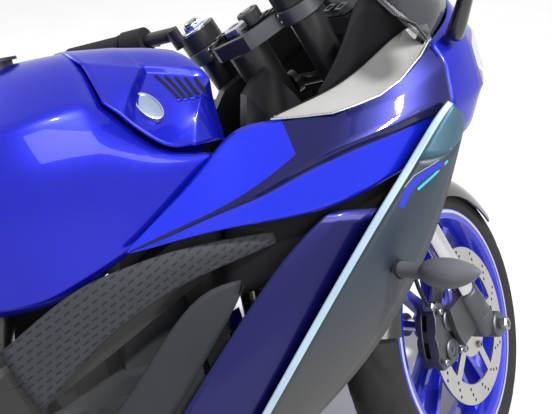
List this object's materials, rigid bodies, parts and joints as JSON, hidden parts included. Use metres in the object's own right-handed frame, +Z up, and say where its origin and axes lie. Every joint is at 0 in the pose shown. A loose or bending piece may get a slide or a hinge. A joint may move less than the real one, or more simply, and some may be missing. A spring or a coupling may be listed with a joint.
{
  "type": "sport bike",
  "caption": "Faired sport bike with cast wheels, disc brakes, raked fork and swingarm, leaning on its side stand with the steering on its left stop.",
  "frame": {"origin": "on the ground, under the middle of the parked bike's bounding box", "axes": "+X to the front, +Y to the rider's left, +Z up; the bike leans to +Y on its side stand and its steering is turned to +Y, on its stop"},
  "size_m": [2.0468, 0.808, 1.1627],
  "materials": {
    "tyre": "matt",
    "wheel_blue": "gloss",
    "bare_steel": "brushed",
    "dark_casting": "satin",
    "black_metal": "satin",
    "axle_steel": "brushed",
    "swingarm_grey": "satin",
    "tank_blue": "gloss",
    "panel_blue": "gloss",
    "panel_slate": "matt",
    "panel_charcoal": "matt",
    "panel_black": "gloss",
    "seat_cover": "matt",
    "screen": "gloss",
    "lamp_lens": "gloss",
    "tail_lens": "gloss",
    "winker_body": "matt",
    "rubber_black": "matt",
    "exhaust_steel": "brushed"
  },
  "bodies": {
    "steering": {"triple_clamps": "dark_casting", "fork_tubes": "black_metal", "fork_legs": "black_metal", "front_axle": "axle_steel", "front_caliper": "dark_casting", "front_mudguard": "panel_black", "handlebars": "black_metal", "hand_controls": "black_metal", "brake_hose": "rubber_black"},
    "front_wheel": {"front_rim": "wheel_blue", "front_tyre": "tyre", "front_disc": "bare_steel"},
    "rear_wheel": {"rear_rim": "wheel_blue", "rear_tyre": "tyre", "rear_disc": "bare_steel", "rear_sprocket": "axle_steel"},
    "side_stand": {"side_stand": "black_metal"},
    "chassis": {"main_frame": "black_metal", "head_tube": "black_metal", "frame_crossbars": "black_metal", "seat_subframe": "black_metal", "swingarm": "swingarm_grey", "rear_axle": "axle_steel", "drive_chain": "bare_steel", "rear_caliper": "dark_casting", "rear_shock": "black_metal", "engine": "dark_casting", "radiator": "black_metal", "exhaust": "exhaust_steel", "fuel_tank": "tank_blue", "tank_cover": "panel_blue", "fuel_cap": "dark_casting", "fairing_stay": "black_metal", "rider_seat": "seat_cover", "pillion_seat": "seat_cover", "tail_cowl": "panel_blue", "tail_lamp": "tail_lens", "rear_mudguard": "panel_charcoal", "nose_cowl": "panel_blue", "headlamps": "lamp_lens", "windscreen": "screen", "instrument_panel": "panel_charcoal", "cockpit_panels": "panel_charcoal", "side_fairings": "panel_blue", "wing_panels": "panel_slate", "belly_pan": "panel_blue", "frame_covers": "panel_charcoal", "lower_side_panels": "panel_charcoal", "mirrors": "panel_black", "winkers": "winker_body", "footrests": "black_metal", "foot_controls": "black_metal"}
  },
  "joints": [
    {"name": "steering", "type": "hinge", "parent": "chassis", "child": "steering", "pos_m": [0.4823, -0.02029, 0.77399], "axis": [0.4176, -0.1962, -0.8872], "range_deg": [0, 64]},
    {"name": "front_wheel_spin", "type": "hinge", "parent": "steering", "child": "front_wheel", "pos_m": [0.75116, -0.11055, 0.27319], "axis": [-0.4826, 0.7795, -0.3995], "continuous": true},
    {"name": "rear_wheel_spin", "type": "hinge", "parent": "chassis", "child": "rear_wheel", "pos_m": [-0.62344, -0.12499, 0.30822], "axis": [-0.0012, 0.9763, -0.2164], "continuous": true},
    {"name": "side_stand_fold", "type": "hinge", "parent": "chassis", "child": "side_stand", "pos_m": [0.00419, 0.02278, 0.24115], "axis": [0.2019, 0.8512, 0.4845], "range_deg": [0, 102.9]}
  ]
}
